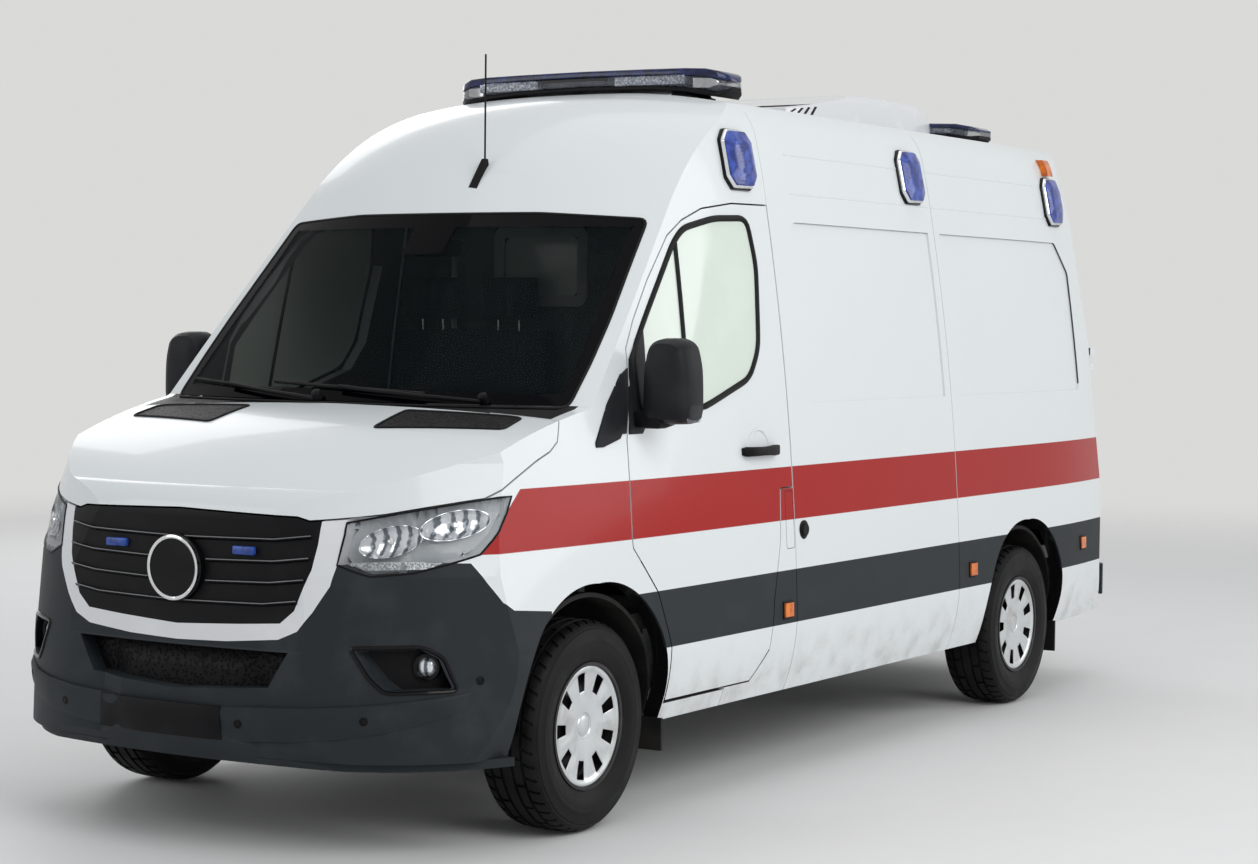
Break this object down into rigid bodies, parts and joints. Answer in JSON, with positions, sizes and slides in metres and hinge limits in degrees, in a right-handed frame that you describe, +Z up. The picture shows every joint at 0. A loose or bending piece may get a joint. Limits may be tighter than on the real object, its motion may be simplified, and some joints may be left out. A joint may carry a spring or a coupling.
{
  "type": "ambulance",
  "caption": "High-roofed panel-van ambulance with hinged cab and rear doors, bonnet, steered front wheels, light bar and side beacons.",
  "frame": {"origin": "on the ground, under the middle of the overall length", "axes": "+X to the vehicle's left, front towards -Y, +Z up"},
  "size_m": [2.32, 5.932, 2.712],
  "materials": {
    "body_paint": "gloss white paint",
    "frame_paint": "gloss white plastic",
    "trim_plastic": "satin dark grey plastic",
    "rubber": "black rubber",
    "liner_plastic": "black plastic",
    "screen_glass": "tinted glass",
    "side_glass": "tinted glass",
    "frosted_glass": "frosted glass",
    "clear_lens": "clear lens",
    "red_lens": "red lens",
    "amber_lens": "amber lens",
    "blue_lens": "blue lens on a black base",
    "interior_plastic": "grained dark plastic",
    "seat_fabric": "dark woven cloth",
    "floor_paint": "grey paint",
    "chassis_paint": "black chassis paint",
    "cast_metal": "cast metal",
    "exhaust_steel": "dull steel",
    "tyre": "black tyre rubber",
    "wheel_trim": "silver lacquered trim"
  },
  "bodies": {
    "body": {"air_conditioner": "body_paint", "antenna": "trim_plastic", "bulkhead": "interior_plastic", "cab_frame": "body_paint", "chassis_frame": "chassis_paint", "cowl_panel": "trim_plastic", "dashboard": "interior_plastic", "engine": "cast_metal", "exhaust": "exhaust_steel", "floor_pan": "floor_paint", "fog_lamps": "clear_lens", "front_bumper": "trim_plastic", "front_fenders": "body_paint", "fuel_tank": "chassis_paint", "grille": "trim_plastic", "grille_frame": "frame_paint", "headlamps": "clear_lens", "light_bars": "blue_lens", "lower_grille": "trim_plastic", "marker_lamps": "amber_lens", "mudflaps": "rubber", "rear_axle": "chassis_paint", "rear_body": "body_paint", "rear_bumper": "trim_plastic", "roof_panel": "body_paint", "rub_strips": "trim_plastic", "seats": "seat_fabric", "side_beacons": "blue_lens", "side_panel_left": "body_paint", "sills": "body_paint", "sliding_door": "body_paint", "tail_lamps": "red_lens", "wheel_arch_liners": "liner_plastic", "windscreen": "screen_glass"},
    "bonnet": {"bonnet": "body_paint"},
    "steering_wheel": {"steering_wheel": "interior_plastic"},
    "front_door_left": {"front_door_left": "body_paint", "front_door_glass_left": "side_glass", "front_door_strip_left": "trim_plastic", "mirror_left": "trim_plastic"},
    "rear_door_left": {"rear_door_left": "body_paint", "rear_door_glass_left": "frosted_glass"},
    "knuckle_left": {"knuckle_left": "chassis_paint"},
    "wheel_front_left": {"tyre_front_left": "tyre", "wheel_front_left": "wheel_trim"},
    "wheel_rear_left": {"tyre_rear_left": "tyre", "wheel_rear_left": "wheel_trim"},
    "front_door_right": {"front_door_right": "body_paint", "front_door_glass_right": "side_glass", "front_door_strip_right": "trim_plastic", "mirror_right": "trim_plastic"},
    "rear_door_right": {"rear_door_right": "body_paint", "rear_door_glass_right": "frosted_glass"},
    "knuckle_right": {"knuckle_right": "chassis_paint"},
    "wheel_front_right": {"tyre_front_right": "tyre", "wheel_front_right": "wheel_trim"},
    "wheel_rear_right": {"tyre_rear_right": "tyre", "wheel_rear_right": "wheel_trim"}
  },
  "joints": [
    {"name": "bonnet_hinge", "type": "hinge", "parent": "body", "child": "bonnet", "pos_m": [0, -2.098, 1.413], "axis": [-1, 0, 0], "range_deg": [0, 55]},
    {"name": "steering", "type": "hinge", "parent": "body", "child": "knuckle_left", "pos_m": [0.765, -1.962, 0.35], "axis": [0, 0, 1], "range_deg": [-37, 37]},
    {"name": "steering_right", "type": "hinge", "parent": "body", "child": "knuckle_right", "pos_m": [-0.765, -1.962, 0.35], "axis": [0, 0, 1], "range_deg": [-37, 37]},
    {"name": "steering_wheel", "type": "hinge", "parent": "body", "child": "steering_wheel", "pos_m": [0.42, -1.326, 1.235], "axis": [0, 0.8192, 0.5736], "range_deg": [-520, 520]},
    {"name": "front_door_left", "type": "hinge", "parent": "body", "child": "front_door_left", "pos_m": [1.016, -1.776, 0.66], "axis": [0.0715, 0, -0.9974], "range_deg": [0, 70]},
    {"name": "rear_door_left", "type": "hinge", "parent": "body", "child": "rear_door_left", "pos_m": [0.79, 2.948, 1.4], "axis": [0, 0, -1], "range_deg": [0, 180]},
    {"name": "wheel_front_left", "type": "hinge", "parent": "knuckle_left", "child": "wheel_front_left", "pos_m": [0.855, -1.962, 0.3555], "axis": [1, 0, 0], "continuous": true},
    {"name": "wheel_rear_left", "type": "hinge", "parent": "body", "child": "wheel_rear_left", "pos_m": [0.855, 1.703, 0.3555], "axis": [1, 0, 0], "continuous": true},
    {"name": "front_door_right", "type": "hinge", "parent": "body", "child": "front_door_right", "pos_m": [-1.016, -1.776, 0.66], "axis": [0.0715, 0, 0.9974], "range_deg": [0, 70]},
    {"name": "rear_door_right", "type": "hinge", "parent": "body", "child": "rear_door_right", "pos_m": [-0.79, 2.948, 1.4], "axis": [0, 0, 1], "range_deg": [0, 180]},
    {"name": "wheel_front_right", "type": "hinge", "parent": "knuckle_right", "child": "wheel_front_right", "pos_m": [-0.855, -1.962, 0.3555], "axis": [1, 0, 0], "continuous": true},
    {"name": "wheel_rear_right", "type": "hinge", "parent": "body", "child": "wheel_rear_right", "pos_m": [-0.855, 1.703, 0.3555], "axis": [1, 0, 0], "continuous": true}
  ],
  "couplings": [
    {"joint": "steering_right", "follows": "steering", "ratio": 1},
    {"joint": "steering_wheel", "follows": "steering", "ratio": 14}
  ]
}
